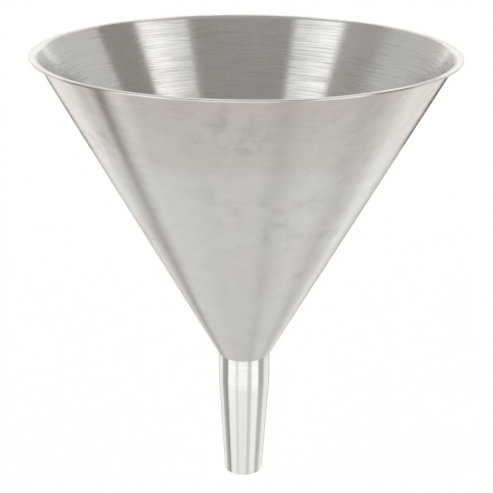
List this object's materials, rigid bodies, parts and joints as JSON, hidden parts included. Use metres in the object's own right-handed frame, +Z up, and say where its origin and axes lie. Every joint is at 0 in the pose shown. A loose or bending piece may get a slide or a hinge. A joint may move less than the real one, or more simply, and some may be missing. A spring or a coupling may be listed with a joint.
{
  "type": "canning funnel",
  "caption": "Stainless steel canning funnel: a brushed conical bowl with a turned-out flat lip, welded to a tapered stem tube that fills jars and bottles.",
  "frame": {"origin": "centre of the outlet, at the foot of the stem", "axes": "+Z up along the funnel's axis of revolution, from the outlet towards the mouth; X and Y are level and interchangeable"},
  "size_m": [0.168, 0.168, 0.1819],
  "materials": {
    "brushed_cone": "circumferentially brushed",
    "satin_stem": "satin, finer brushing",
    "ground_weld": "ground flush"
  },
  "bodies": {
    "root": {"cone_bowl": "brushed_cone", "stem_tube": "satin_stem", "joint_weld": "ground_weld"}
  },
  "joints": []
}
